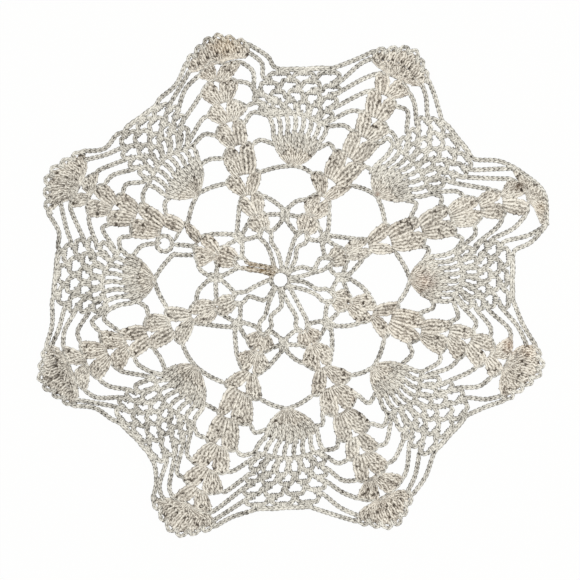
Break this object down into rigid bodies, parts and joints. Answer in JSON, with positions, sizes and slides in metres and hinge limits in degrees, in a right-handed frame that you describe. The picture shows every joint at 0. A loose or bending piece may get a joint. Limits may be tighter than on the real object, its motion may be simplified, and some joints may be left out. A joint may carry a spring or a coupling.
{
  "type": "crochet doily",
  "caption": "Flat openwork table mat crocheted in thick cotton thread, with pointed scalloped tips, fan groups, fingers and loops round a small ring.",
  "frame": {"origin": "middle of the bounding box, on the underside that lies on the table", "axes": "Z up, at right angles to the lace; X to the right and Y up as it is laid out"},
  "size_m": [0.2152, 0.2118, 0.002],
  "materials": {
    "ecru_cotton": "matte"
  },
  "bodies": {
    "root": {"doily": "ecru_cotton"}
  },
  "joints": []
}
